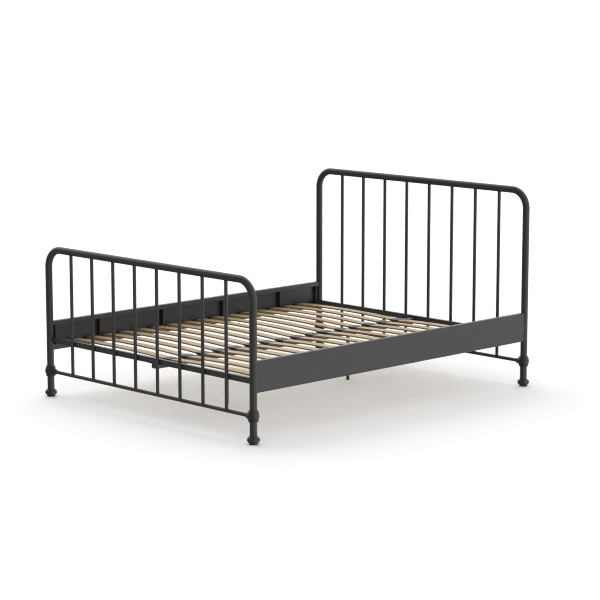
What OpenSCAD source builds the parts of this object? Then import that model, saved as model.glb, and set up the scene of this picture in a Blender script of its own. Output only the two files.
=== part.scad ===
// Metal bed frame for a 1600 x 2000 mm mattress: two tubular spindle boards
// joined by folded-steel side rails, with sprung slats on a centre beam.
// Millimetres. X runs across the bed, +Y points to the head, +Z is up.
// The origin is on the floor, in the middle of the bed.

/* [Posts and boards] */
// Distance between the post axes across the bed
post_span_x = 1628; // [1500:1:1800]
// Distance between the post axes along the bed
post_span_y = 2070; // [2060:1:2200]
// Overall height of the headboard
head_height = 1119; // [900:1:1300]
// Overall height of the footboard
foot_height = 834; // [640:1:900]
// Outside diameter of the bent board tubes
tube_d = 38; // [36:0.5:40]
// Wall of the bent board tubes
tube_wall = 1.5; // [1.2:0.1:2.5]
// Bend radius of the tube axis at the top corners
bend_r = 100; // [60:1:160]
// Upright spindles in each board
spindle_count = 8; // [4:1:9]
// Distance between neighbouring spindles
spindle_pitch = 176.4; // [100:0.1:178]
// Outside diameter of the spindles
spindle_d = 18; // [12:0.5:18.5]
// Outside diameter of the bottom rails
bottom_rail_d = 19; // [19:0.5:20]
// Height of the bottom rail axis
bottom_rail_z = 140; // [120:1:180]
// Wall of the spindles and bottom rails
thin_wall = 1.2; // [1:0.1:2]

/* [Cross rails] */
// Height of each cross rail
cross_h = 30; // [25:1:35]
// Depth of each cross rail along the bed
cross_depth = 20; // [16:1:22]
// Underside of the cross rail at the foot
foot_cross_z = 297; // [292:1:305]
// Underside of the cross rail at the head
head_cross_z = 275; // [270:1:280]

/* [Side rails] */
// Height of the side rails
rail_h = 160; // [150:1:180]
// Underside of the side rails
rail_z = 256.5; // [250:0.5:262]
// Depth of the folded side rail section
rail_depth = 25; // [24:0.5:26]
// Sheet thickness of the side rails
rail_t = 2; // [1.5:0.1:2.5]
// Height of the lower inner lip, which carries the slat seats
seat_lip_h = 30; // [26:1:34]
// Height of the upper inner lip
top_lip_h = 25; // [20:1:34]
// Width of the upright spacers between the lips
rib_w = 10; // [6:1:20]

/* [Slats] */
// Rows of slats, each with a left and a right half
slat_rows = 16; // [8:2:16]
// Distance between neighbouring slat rows
slat_pitch = 115.5; // [100:0.5:116]
// Width of a slat
slat_w = 53; // [45:1:55]
// Thickness of a slat
slat_t = 8; // [7:0.5:9]
// Upward bow of a slat
slat_crown = 10; // [4:0.5:15]
// Height of a slat's top face at its ends
slat_end_z = 298.5; // [298:0.5:300]

/* [Centre support] */
// Width of the centre beam
beam_w = 40; // [30:1:44]
// Height of the centre beam
beam_h = 30; // [25:1:32]
// Top face of the centre beam
beam_top = 289; // [288:0.5:289]
// Half the distance between the centre legs
leg_y = 465; // [300:1:600]
// Shift of both centre legs along the bed, towards the head
leg_shift = -7; // [-20:1:20]
// Outside diameter of the centre legs
leg_d = 20; // [18:0.5:25]

/* [View] */
// Which piece to draw, or all of them

/* [Hidden] */
$fn = 96;

post_x = post_span_x / 2;
post_y = post_span_y / 2;
tube_r = tube_d / 2;

// Castings at the foot of each post
glide_r = 22;
glide_h = 6;
ball_r = 33;
ball_edge_r = 16.4;
ball_z = 22.5;
collar_r = 20.6;
collar_top = 43;
post_bottom = 39;
spigot_h = 22;

// Castings where the bottom rail meets a post
knuckle_r = 30.5;
knuckle_curve_r = 43.3;
knuckle_z = bottom_rail_z + 2;
ring_r = 26.3;
lower_ring_h = 15;
upper_ring_h = 9.5;
ring_rise = 20.5;
ring_drop = 29;
boss_start = 20;
boss_end = 54;
boss_r = 25.5;
boss_tip_r = 11;

// Side rail joints
rail_end_y = post_y - 33;
plate_t = 3;
bolt_d = 8;
bolt_clear_d = 8.6;
bolt_head_d = 14;
bolt_head_h = 5;
bolt_len = 13;
nut_af = 13;
nut_h = 6.5;
bolt_inset = 45;
bolt_zs = [rail_z + bolt_inset, rail_z + rail_h - bolt_inset];
bolt_key_d = 6.9;
bolt_key_depth = 3;
rib_rows = [-6, -2, 2, 6];

// Slats and their plastic seats
slat_inner_x = 8;
web_x = post_x + rail_depth / 2 - rail_t;
lip_x = post_x - rail_depth / 2;
slat_outer_x = web_x - 6;
slat_mid_x = (slat_inner_x + slat_outer_x) / 2;
slat_half = (slat_outer_x - slat_inner_x) / 2;
bow_r = (pow(slat_half, 2) + pow(slat_crown, 2)) / (2 * slat_crown);
bow_angle = asin(slat_half / bow_r);
holder_w = 90;
holder_reach = 32;
holder_base_t = 4.5;
holder_ear_w = 14;
strap_reach = 19;
strap_w = slat_w + 8;
seat_top = slat_end_z + 3.5;
tongue_t = 2.5;
tongue_w = 40;
tongue_h = 12;
cap_x = 30;
cap_w = slat_w + 10;
cap_clip_t = 3;
cap_clip_w = 28;
cap_clip_h = 9;

// Centre support
beam_y = 980;
beam_wall = 1.5;
beam_bottom = beam_top - beam_h;
plug_flange_t = 3;
plug_depth = 18;
hanger_len = 70;
hanger_screw_drop = 7;
leg_wall = 1.5;
leg_bottom = 14;
leg_plate_t = 3;
leg_plate_l = 46;
leg_plate_back = 32;
insert_h = 24;
insert_flange_t = 2;
pad_r = 10;
pad_h = 10;
pad_rim_h = 7;
stud_d = 8;
stud_len = 50;
stud_seat = 4;
thread_clear = 0.05;
screw_d = 6;
screw_head_d = 11;
screw_head_h = 3.5;
screw_key_d = 4.6;
screw_key_depth = 2;
screw_xs = [-12, 12];
leg_screw_back = 22;

function row_y(i) = (i - (slat_rows - 1) / 2) * slat_pitch;
function spindle_x(i) = (i - (spindle_count - 1) / 2) * spindle_pitch;
function leg_at(side) = side * leg_y + leg_shift;
function hanger_screw_z(cross_z) = cross_z + cross_h - hanger_screw_drop;

coat = [0.17, 0.17, 0.17];
birch = [0.82, 0.72, 0.55];
plastic = [0.16, 0.19, 0.23];
steel = [0.55, 0.55, 0.56];

// Section of a round tube
module ring_section(d, wall) {
    difference() {
        circle(d = d);
        circle(d = d - 2 * wall);
    }
}

// Solid bar along X, centred
module x_bar(d, length) {
    rotate([0, 90, 0]) cylinder(d = d, h = length, center = true);
}

// Bent tube of one board: two posts, two quarter bends and the top
module bow(height) {
    top_z = height - tube_r;
    color(coat) for (s = [0, 1]) mirror([s, 0, 0]) {
        translate([post_x, 0, post_bottom])
            linear_extrude(top_z - bend_r - post_bottom) ring_section(tube_d, tube_wall);
        translate([post_x - bend_r, 0, top_z - bend_r])
            rotate([90, 0, 0])
                rotate_extrude(angle = 90)
                    translate([bend_r, 0]) ring_section(tube_d, tube_wall);
        translate([0, 0, top_z])
            rotate([0, 90, 0])
                linear_extrude(post_x - bend_r) ring_section(tube_d, tube_wall);
    }
}

// Upright spindles, coped to the top tube and to the bottom rail
module spindles(height) {
    top_z = height - tube_r;
    color(coat) difference() {
        for (i = [0 : spindle_count - 1])
            translate([spindle_x(i), 0, bottom_rail_z])
                linear_extrude(top_z - bottom_rail_z) ring_section(spindle_d, thin_wall);
        translate([0, 0, top_z]) x_bar(tube_d, post_span_x);
        translate([0, 0, bottom_rail_z]) x_bar(bottom_rail_d, post_span_x);
    }
}

// Thin round rail between the posts near the floor
module bottom_rail() {
    color(coat) difference() {
        translate([-post_x, 0, bottom_rail_z])
            rotate([0, 90, 0])
                linear_extrude(post_span_x) ring_section(bottom_rail_d, thin_wall);
        for (s = [-1, 1])
            translate([s * post_x, 0, bottom_rail_z])
                cylinder(d = tube_d, h = 60, center = true);
    }
}

// Rectangular tube behind the spindles at the height of the slats; +Y is inwards
module cross_rail(z) {
    color(coat) difference() {
        translate([-lip_x, spindle_d / 2, z])
            cube([2 * lip_x, cross_depth, cross_h]);
        translate([-lip_x - 1, spindle_d / 2 + thin_wall, z + thin_wall])
            cube([2 * lip_x + 2, cross_depth - 2 * thin_wall, cross_h - 2 * thin_wall]);
        for (s = [-1, 1])
            translate([s * post_x, 0, z - 1]) cylinder(d = tube_d, h = cross_h + 2);
        for (x = screw_xs)
            translate([x, spindle_d / 2 + cross_depth, hanger_screw_z(z)])
                rotate([90, 0, 0])
                    cylinder(d = screw_d, h = 4 * thin_wall, center = true);
    }
}

// Barrel casting with two rings and a cone that holds the bottom rail
module knuckle() {
    lower_z = bottom_rail_z - ring_drop;
    upper_z = bottom_rail_z + ring_rise;
    color(coat) difference() {
        union() {
            rotate_extrude() knuckle_profile(lower_z, upper_z);
            translate([-boss_start, 0, bottom_rail_z])
                rotate([0, -90, 0])
                    cylinder(r1 = boss_r, r2 = boss_tip_r, h = boss_end - boss_start);
        }
        translate([0, 0, lower_z - 1])
            cylinder(d = tube_d, h = ring_drop + ring_rise + upper_ring_h + 2);
        translate([-boss_end, 0, bottom_rail_z]) x_bar(bottom_rail_d, 2 * boss_end);
    }
}

// Half section of the knuckle: lower ring, bulging barrel, upper ring
module knuckle_profile(lower_z, upper_z) {
    translate([0, lower_z]) {
        square([ring_r - lower_ring_h / 2, lower_ring_h]);
        translate([ring_r - lower_ring_h / 2, lower_ring_h / 2])
            circle(d = lower_ring_h);
    }
    translate([0, upper_z]) {
        square([ring_r - upper_ring_h / 2, upper_ring_h]);
        translate([ring_r - upper_ring_h / 2, upper_ring_h / 2])
            circle(d = upper_ring_h);
    }
    intersection() {
        translate([0, lower_z + lower_ring_h / 2])
            square([2 * knuckle_r, upper_z - lower_z - lower_ring_h / 2 + upper_ring_h / 2]);
        translate([knuckle_r - knuckle_curve_r, knuckle_z])
            circle(r = knuckle_curve_r);
    }
}

// Ball-shaped foot casting with a socket and a spigot for the post tube
module post_foot() {
    color(coat) difference() {
        rotate_extrude() {
            translate([ball_r - ball_edge_r, ball_z])
                circle(r = ball_edge_r);
            translate([0, glide_h])
                square([ball_r - ball_edge_r, collar_top - glide_h]);
            translate([0, ball_z])
                square([collar_r, collar_top - ball_z]);
        }
        translate([0, 0, post_bottom])
            linear_extrude(collar_top) ring_section(tube_d, tube_wall);
        translate([0, 0, -1]) cylinder(r = ball_r + 1, h = glide_h + 1);
    }
    color(coat) translate([0, 0, collar_top - 1])
        cylinder(d = tube_d - 2 * tube_wall, h = spigot_h);
}

// Round plastic glide under a foot casting
module glide() {
    color(plastic) cylinder(r = glide_r, h = glide_h);
}

// Folded C section of a side rail, open towards -X, standing in the XY plane
module rail_section() {
    difference() {
        square([rail_depth, rail_h]);
        translate([rail_t, rail_t])
            square([rail_depth - 2 * rail_t, rail_h - 2 * rail_t]);
        translate([-1, seat_lip_h]) square([rail_t + 2, rail_h - seat_lip_h - top_lip_h]);
    }
}

// The C section drawn along Y on the +X side of the bed, from y0 to y1
module rail_run(y0, y1) {
    translate([lip_x, y1, rail_z])
        rotate([90, 0, 0]) linear_extrude(y1 - y0) rail_section();
}

// Two holes or shanks along Y at the bolt heights
module bolt_bars(d, y0, y1) {
    for (z = bolt_zs)
        translate([post_x, y1, z]) rotate([90, 0, 0]) cylinder(d = d, h = y1 - y0);
}

// Right side rail with a closing plate at each end
module side_rail() {
    color(coat) {
        rail_run(-rail_end_y, rail_end_y);
        for (s = [0, 1]) mirror([0, s, 0]) difference() {
            translate([lip_x, rail_end_y - plate_t, rail_z])
                cube([rail_depth, plate_t, rail_h]);
            bolt_bars(bolt_clear_d, rail_end_y - plate_t - 1, rail_end_y + 1);
        }
    }
}

// Bracket on the inner side of the right-hand head post; it carries the rail end
module rail_bracket() {
    color(coat) difference() {
        union() {
            rail_run(rail_end_y, post_y);
            translate([lip_x, rail_end_y, rail_z])
                cube([rail_depth, plate_t, rail_h]);
        }
        translate([post_x, post_y, rail_z - 1]) cylinder(d = tube_d, h = rail_h + 2);
        bolt_bars(bolt_clear_d, rail_end_y - 1, rail_end_y + plate_t + 1);
    }
}

// Upright channel spacers between the lips of the right side rail
module rail_ribs() {
    depth = rail_depth - rail_t;
    color(plastic) for (k = rib_rows)
        translate([lip_x, k * slat_pitch - rib_w / 2, rail_z + seat_lip_h])
            linear_extrude(rail_h - seat_lip_h - top_lip_h) difference() {
                square([depth, rib_w]);
                translate([rail_t, rail_t]) square([depth, rib_w - 2 * rail_t]);
            }
}

// Socket-head bolts of one rail end, heads inside the rail
module rail_bolts() {
    head_y = rail_end_y - plate_t;
    color(steel) difference() {
        union() {
            bolt_bars(bolt_d, head_y - 1, head_y + bolt_len);
            bolt_bars(bolt_head_d, head_y - bolt_head_h, head_y);
        }
        for (z = bolt_zs)
            translate([post_x, head_y - bolt_head_h - 1, z])
                rotate([-90, 0, 0]) cylinder(d = bolt_key_d, h = bolt_key_depth + 1, $fn = 6);
    }
}

// Hexagon nuts of one rail end, between the bracket plate and the post
module rail_nuts() {
    nut_y = rail_end_y + plate_t;
    color(steel) difference() {
        for (z = bolt_zs)
            translate([post_x, nut_y, z])
                rotate([-90, 0, 0]) cylinder(d = nut_af / cos(30), h = nut_h, $fn = 6);
        bolt_bars(bolt_d, nut_y - 1, nut_y + nut_h + 1);
    }
}

// Repeats a right-hand head-end piece at all four corners
module four_corners() {
    for (x = [0, 1], y = [0, 1])
        mirror([x, 0, 0]) mirror([0, y, 0]) children();
}

// Moves a piece from the middle of a board to the head (1) or the foot (-1)
module at_board(side) {
    mirror([0, side > 0 ? 1 : 0, 0]) translate([0, -post_y, 0]) children();
}

// Moves a piece that points towards -X to one post of a board
module at_post(side_x, side_y) {
    mirror([side_x < 0 ? 1 : 0, 0, 0]) translate([post_x, side_y * post_y, 0]) children();
}

// Centre beam: rectangular tube along the bed
module centre_beam() {
    color(coat) difference() {
        translate([-beam_w / 2, -beam_y, beam_bottom])
            cube([beam_w, 2 * beam_y, beam_h]);
        translate([-beam_w / 2 + beam_wall, -beam_y - 1, beam_bottom + beam_wall])
            cube([beam_w - 2 * beam_wall, 2 * beam_y + 2, beam_h - 2 * beam_wall]);
        for (s = [-1, 1], x = screw_xs)
            translate([x, leg_at(s) - leg_screw_back, beam_bottom - 1])
                cylinder(d = screw_d, h = beam_wall + 2);
    }
}

// Plastic plug in each end of the centre beam
module beam_plugs() {
    inner_w = beam_w - 2 * beam_wall;
    inner_h = beam_h - 2 * beam_wall;
    color(plastic) for (s = [0, 1]) mirror([0, s, 0]) {
        translate([-beam_w / 2, beam_y, beam_bottom])
            cube([beam_w, plug_flange_t, beam_h]);
        translate([-inner_w / 2, beam_y - plug_depth, beam_bottom + beam_wall])
            cube([inner_w, plug_depth + plug_flange_t / 2, inner_h]);
    }
}

// Folded plate that hangs the beam on a cross rail; +Y is inwards
module beam_hanger(cross_z) {
    face_y = -post_y + spindle_d / 2 + cross_depth;
    color(coat) difference() {
        union() {
            translate([-beam_w / 2, face_y, beam_top])
                cube([beam_w, hanger_len, plate_t]);
            translate([-beam_w / 2, face_y, beam_top])
                cube([beam_w, plate_t, cross_z + cross_h - 1 - beam_top]);
        }
        for (x = screw_xs)
            translate([x, face_y - 1, hanger_screw_z(cross_z)])
                rotate([-90, 0, 0]) cylinder(d = screw_d, h = plate_t + 2);
    }
}

// Button-head screw along +Z with its head below the origin
module screw(length) {
    cylinder(d = screw_d, h = length);
    translate([0, 0, -screw_head_h]) difference() {
        cylinder(d = screw_head_d, h = screw_head_h);
        translate([0, 0, -1]) cylinder(d = screw_key_d, h = screw_key_depth + 1, $fn = 6);
    }
}

// Screws of the beam hangers and of the centre leg plates
module support_screws() {
    hang_y = post_y - spindle_d / 2 - cross_depth - plate_t;
    color(steel) for (x = screw_xs) {
        translate([x, hang_y, hanger_screw_z(head_cross_z)])
            rotate([-90, 0, 0]) screw(plate_t + thin_wall);
        translate([x, -hang_y, hanger_screw_z(foot_cross_z)])
            rotate([90, 0, 0]) screw(plate_t + thin_wall);
        for (s = [-1, 1])
            translate([x, leg_at(s) - leg_screw_back, beam_bottom - leg_plate_t])
                screw(leg_plate_t + beam_wall);
    }
}

// Round centre leg with its fixing plate under the beam
module centre_leg(y) {
    plate_z = beam_bottom - leg_plate_t;
    color(coat) translate([0, y, 0]) {
        translate([0, 0, leg_bottom])
            linear_extrude(plate_z - leg_bottom) ring_section(leg_d, leg_wall);
        difference() {
            translate([-beam_w / 2, -leg_plate_back, plate_z])
                cube([beam_w, leg_plate_l, leg_plate_t]);
            for (x = screw_xs)
                translate([x, -leg_screw_back, plate_z - 1])
                    cylinder(d = screw_d, h = leg_plate_t + 2);
        }
    }
}

// Threaded plugs in the lower ends of the centre legs
module leg_inserts() {
    color(plastic) for (s = [-1, 1]) translate([0, leg_at(s), leg_bottom]) difference() {
        union() {
            cylinder(d = leg_d - 2 * leg_wall, h = insert_h);
            translate([0, 0, -insert_flange_t]) cylinder(d = leg_d, h = insert_flange_t);
        }
        translate([0, 0, -insert_flange_t - 1])
            cylinder(r = stud_d / 2 + thread_clear, h = insert_h + insert_flange_t + 2);
    }
}

// Threaded stud of a levelling foot
module level_stud(y) {
    color(steel) translate([0, y, pad_h - stud_seat]) cylinder(d = stud_d, h = stud_len);
}

// Plastic pad of a levelling foot
module level_pad(y) {
    color(plastic) translate([0, y, 0]) difference() {
        union() {
            cylinder(r = pad_r, h = pad_rim_h);
            translate([0, 0, pad_rim_h])
                cylinder(r1 = pad_r, r2 = stud_d, h = pad_h - pad_rim_h);
        }
        translate([0, 0, pad_h - stud_seat]) cylinder(d = stud_d, h = pad_h);
    }
}

// Bowed right-hand half slat, centred on Y = 0
module half_slat() {
    translate([slat_mid_x, 0, slat_end_z + slat_crown - bow_r])
        rotate([90, 0, 0])
            rotate([0, 0, 90 - bow_angle])
                rotate_extrude(angle = 2 * bow_angle, $fn = 720)
                    translate([bow_r - slat_t, -slat_w / 2]) square([slat_t, slat_w]);
}

// One row of slats, counted from the foot of the bed
module slat_row(i) {
    color(birch) if (i < slat_rows)
        translate([0, row_y(i), 0]) for (s = [0, 1]) mirror([s, 0, 0]) half_slat();
}

// Plastic seats that hold the outer slat ends on the lower lip of the right rail
module slat_holders() {
    seat_z = rail_z + seat_lip_h;
    color(plastic) for (i = [0 : slat_rows - 1]) translate([0, row_y(i), 0]) difference() {
        union() {
            translate([web_x - holder_reach, -holder_w / 2, seat_z])
                cube([holder_reach, holder_w, holder_base_t]);
            for (s = [0, 1]) mirror([0, s, 0])
                translate([web_x - holder_reach, holder_w / 2 - holder_ear_w, seat_z])
                    cube([holder_reach, holder_ear_w, slat_end_z - seat_z]);
            translate([web_x - strap_reach, -strap_w / 2, seat_z])
                cube([strap_reach, strap_w, seat_top - seat_z]);
            for (x = [lip_x - tongue_t, lip_x + rail_t])
                translate([x, -tongue_w / 2, seat_z - tongue_h])
                    cube([tongue_t, tongue_w, tongue_h + 1]);
        }
        half_slat();
    }
}

// Plastic double caps that hold the inner slat ends on the beam
module centre_caps() {
    color(plastic) for (i = [0 : slat_rows - 1]) translate([0, row_y(i), 0]) difference() {
        union() {
            translate([-cap_x, -cap_w / 2, beam_top])
                cube([2 * cap_x, cap_w, seat_top - beam_top]);
            for (s = [0, 1]) mirror([s, 0, 0])
                translate([beam_w / 2, -cap_clip_w / 2, beam_top - cap_clip_h])
                    cube([cap_clip_t, cap_clip_w, cap_clip_h + 1]);
        }
        for (s = [0, 1]) mirror([s, 0, 0]) half_slat();
    }
}

at_board(1) bow(head_height);  // headboard_bow
at_board(1) spindles(head_height);  // headboard_spindles
at_board(1) bottom_rail();  // headboard_bottom_rail
at_board(1) cross_rail(head_cross_z);  // head_cross_rail
at_board(-1) bow(foot_height);  // footboard_bow
at_board(-1) spindles(foot_height);  // footboard_spindles
at_board(-1) bottom_rail();  // footboard_bottom_rail
at_board(-1) cross_rail(foot_cross_z);  // foot_cross_rail
at_post(-1, 1) knuckle();  // knuckle_head_left
at_post(1, 1) knuckle();  // knuckle_head_right
at_post(-1, -1) knuckle();  // knuckle_foot_left
at_post(1, -1) knuckle();  // knuckle_foot_right
at_post(-1, 1) post_foot();  // foot_head_left
at_post(1, 1) post_foot();  // foot_head_right
at_post(-1, -1) post_foot();  // foot_foot_left
at_post(1, -1) post_foot();  // foot_foot_right
four_corners() translate([post_x, post_y, 0]) glide();  // foot_glides
mirror([1, 0, 0]) rail_bracket();  // bracket_head_left
rail_bracket();  // bracket_head_right
mirror([1, 0, 0]) mirror([0, 1, 0]) rail_bracket();  // bracket_foot_left
mirror([0, 1, 0]) rail_bracket();  // bracket_foot_right
mirror([1, 0, 0]) side_rail();  // side_rail_left
side_rail();  // side_rail_right
mirror([1, 0, 0]) rail_ribs();  // rail_ribs_left
rail_ribs();  // rail_ribs_right
four_corners() rail_bolts();
four_corners() rail_nuts();
centre_beam();
mirror([0, 1, 0]) beam_hanger(head_cross_z);  // beam_hanger_head
beam_hanger(foot_cross_z);  // beam_hanger_foot
beam_plugs();
centre_leg(leg_at(1));  // centre_leg_head
centre_leg(leg_at(-1));  // centre_leg_foot
leg_inserts();
support_screws();
level_stud(leg_at(1));  // level_stud_head
level_stud(leg_at(-1));  // level_stud_foot
level_pad(leg_at(1));  // level_pad_head
level_pad(leg_at(-1));  // level_pad_foot
mirror([1, 0, 0]) slat_holders();  // slat_holders_left
slat_holders();  // slat_holders_right
centre_caps();
slat_row(0);  // slat_row_01
slat_row(1);  // slat_row_02
slat_row(2);  // slat_row_03
slat_row(3);  // slat_row_04
slat_row(4);  // slat_row_05
slat_row(5);  // slat_row_06
slat_row(6);  // slat_row_07
slat_row(7);  // slat_row_08
slat_row(8);  // slat_row_09
slat_row(9);  // slat_row_10
slat_row(10);  // slat_row_11
slat_row(11);  // slat_row_12
slat_row(12);  // slat_row_13
slat_row(13);  // slat_row_14
slat_row(14);  // slat_row_15
slat_row(15);  // slat_row_16
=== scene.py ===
"""Metal bed frame: powder-coated tubes and folded rails, birch slats in plastic seats."""
import math
from collections import namedtuple

import bmesh
import bpy
from mathutils import Matrix, Vector


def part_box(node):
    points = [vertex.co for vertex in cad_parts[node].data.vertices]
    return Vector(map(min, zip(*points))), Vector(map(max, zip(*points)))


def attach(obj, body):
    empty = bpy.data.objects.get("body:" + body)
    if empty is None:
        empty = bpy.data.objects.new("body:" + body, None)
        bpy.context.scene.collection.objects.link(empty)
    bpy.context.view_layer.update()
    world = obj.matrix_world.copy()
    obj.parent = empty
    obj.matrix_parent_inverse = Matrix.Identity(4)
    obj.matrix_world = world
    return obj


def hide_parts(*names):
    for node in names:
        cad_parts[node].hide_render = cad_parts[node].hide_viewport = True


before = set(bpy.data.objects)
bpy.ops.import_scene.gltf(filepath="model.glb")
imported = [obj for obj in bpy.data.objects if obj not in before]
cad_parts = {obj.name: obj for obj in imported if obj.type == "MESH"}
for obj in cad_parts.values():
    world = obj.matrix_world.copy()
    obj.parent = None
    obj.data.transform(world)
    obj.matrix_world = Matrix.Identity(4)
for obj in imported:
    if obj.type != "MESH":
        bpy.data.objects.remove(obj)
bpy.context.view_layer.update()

MM = 0.001
FRAME_BODY = "bed_frame"
ENDS = (("head", 1), ("foot", -1))
HANDS = (("left", -1), ("right", 1))


# ---------------------------------------------------------------- sizes, read from the frame

def low(node):
    """Lowest corner of a CAD node."""
    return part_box(node)[0]


def high(node):
    """Highest corner of a CAD node."""
    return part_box(node)[1]


tube_r = (high("headboard_bow").y - low("headboard_bow").y) / 2
post_x = (low("foot_head_right").x + high("foot_head_right").x) / 2
post_y = (low("foot_head_right").y + high("foot_head_right").y) / 2
head_top = high("headboard_bow").z
foot_top = high("footboard_bow").z
post_bottom = low("headboard_bow").z
bend_r = 100 * MM

spindle_r = (high("headboard_spindles").y - low("headboard_spindles").y) / 2
spindle_count = 8
spindle_span = high("headboard_spindles").x - low("headboard_spindles").x - 2 * spindle_r
bottom_rail_r = (high("headboard_bottom_rail").z - low("headboard_bottom_rail").z) / 2
bottom_rail_z = high("headboard_bottom_rail").z - bottom_rail_r

rail_low, rail_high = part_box("side_rail_right")
rail_t = 2 * MM
rail_half_depth = (rail_high.x - rail_low.x) / 2
lip_x = rail_low.x + rail_t
web_x = rail_high.x - rail_t
seat_lip_h = 30 * MM
top_lip_h = 25 * MM
seat_z = rail_low.z + seat_lip_h
rib_w = 10 * MM
rib_rows = (-6, -2, 2, 6)
plate_t = 3 * MM

slat_rows = 16
slat_low, slat_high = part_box("slat_row_01")
slat_w = slat_high.y - slat_low.y
slat_t = 8 * MM
slat_crown = slat_high.z - slat_low.z - slat_t
slat_inner_x = 8 * MM
first_row_y = (slat_low.y + slat_high.y) / 2
row_pitch = -2 * first_row_y / (slat_rows - 1)

beam_low, beam_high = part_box("centre_beam")
tube_corner_r = 2.5 * MM
leg_r = high("leg_inserts").x


def row_y(i):
    return first_row_y + i * row_pitch


def spindle_x(i):
    return (i / (spindle_count - 1) - 0.5) * spindle_span


# ---------------------------------------------------------------- materials

MIX_INPUTS = (0, 6, 7)  # a colour Mix node's factor and its two colours
MIX_RESULT = 2
WORN_COAT = (0.05, 0.05, 0.049)
SLAT_LAYERS = 3.5


class Shader:
    """A Principled material with short calls for the nodes that feed it."""

    def __init__(self, name, roughness, metallic=0.0):
        self.material = bpy.data.materials.new(name)
        self.material.use_nodes = True
        self.tree = self.material.node_tree
        self.surface = self.tree.nodes["Principled BSDF"]
        self.set("Roughness", roughness)
        self.set("Metallic", metallic)
        coords = self.node("ShaderNodeTexCoord")
        self.place = coords.outputs["Object"]

    def set(self, socket, value):
        self.surface.inputs[socket].default_value = value

    def node(self, kind, **values):
        made = self.tree.nodes.new(kind)
        for key, value in values.items():
            setattr(made, key, value)
        return made

    def link(self, source, target):
        self.tree.links.new(source, target)

    def feed(self, value, target):
        """Links an output to a socket, or sets the socket to a number or a colour."""
        if isinstance(value, bpy.types.NodeSocket):
            self.link(value, target)
        elif isinstance(value, tuple):
            target.default_value = (*value, 1)
        else:
            target.default_value = value

    def stretched(self, scale, offset=None):
        """Object coordinates scaled per axis, shifted by an optional vector output."""
        mapping = self.node("ShaderNodeMapping")
        self.link(self.place, mapping.inputs["Vector"])
        mapping.inputs["Scale"].default_value = scale
        if offset is not None:
            self.link(offset, mapping.inputs["Location"])
        return mapping.outputs["Vector"]

    def noise(self, scale, detail=3.0, roughness=0.5, vector=None, distortion=0.0):
        made = self.node("ShaderNodeTexNoise")
        self.link(vector or self.place, made.inputs["Vector"])
        made.inputs["Scale"].default_value = scale
        made.inputs["Detail"].default_value = detail
        made.inputs["Roughness"].default_value = roughness
        made.inputs["Distortion"].default_value = distortion
        return made.outputs["Fac"]

    def ramp(self, value, stops):
        """A colour ramp through (position, colour) stops; a grey may be one number."""
        made = self.node("ShaderNodeValToRGB")
        elements = made.color_ramp.elements
        while len(elements) < len(stops):
            elements.new(0.5)
        for element, (position, colour) in zip(elements, stops):
            element.position = position
            grey = isinstance(colour, (int, float))
            element.color = (colour,) * 3 + (1,) if grey else (*colour, 1)
        self.link(value, made.inputs["Fac"])
        return made.outputs["Color"]

    def mix(self, factor, first, second, blend="MIX"):
        made = self.node("ShaderNodeMix", data_type="RGBA", blend_type=blend)
        for socket, value in zip(MIX_INPUTS, (factor, first, second)):
            self.feed(value, made.inputs[socket])
        return made.outputs[MIX_RESULT]

    def math(self, operation, first, second=0.0):
        made = self.node("ShaderNodeMath", operation=operation)
        self.feed(first, made.inputs[0])
        self.feed(second, made.inputs[1])
        return made.outputs[0]

    def colour(self, output):
        self.link(output, self.surface.inputs["Base Color"])

    def roughness(self, output, lowest, highest):
        """Feeds Roughness with a 0-1 output spread over a range."""
        spread = self.node("ShaderNodeMapRange")
        self.link(output, spread.inputs["Value"])
        spread.inputs["To Min"].default_value = lowest
        spread.inputs["To Max"].default_value = highest
        self.link(spread.outputs["Result"], self.surface.inputs["Roughness"])

    def bumps(self, *layers):
        """Chains (height output, strength, distance) layers into the normal."""
        normal = None
        for height, strength, distance in layers:
            made = self.node("ShaderNodeBump")
            made.inputs["Strength"].default_value = strength
            made.inputs["Distance"].default_value = distance
            self.link(height, made.inputs["Height"])
            if normal is not None:
                self.link(normal, made.inputs["Normal"])
            normal = made.outputs["Normal"]
        self.link(normal, self.surface.inputs["Normal"])

    def worn_edges(self, start, end, strength):
        """0 on flat faces, up to strength on sharp convex edges."""
        geometry = self.node("ShaderNodeNewGeometry")
        edges = self.ramp(geometry.outputs["Pointiness"], [(start, 0.0), (end, 1.0)])
        return self.math("MULTIPLY", edges, strength)


def powder_coat():
    """Matt black powder coat: fine orange peel, faint mottling, thin bright edges."""
    s = Shader("powder_coat", 0.55)
    peel = s.noise(900, detail=2)
    grit = s.noise(2600, detail=2)
    mottle = s.noise(6, detail=4, roughness=0.6)
    body = s.ramp(mottle, [(0.3, (0.018, 0.018, 0.018)), (0.7, (0.022, 0.022, 0.0215))])
    s.colour(s.mix(s.worn_edges(0.53, 0.62, 0.3), body, WORN_COAT))
    s.roughness(s.noise(30, detail=4, roughness=0.6), 0.34, 0.48)
    s.bumps((peel, 0.25, 0.0002), (grit, 0.15, 0.0001))
    s.set("Specular IOR Level", 0.5)
    return s.material


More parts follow.
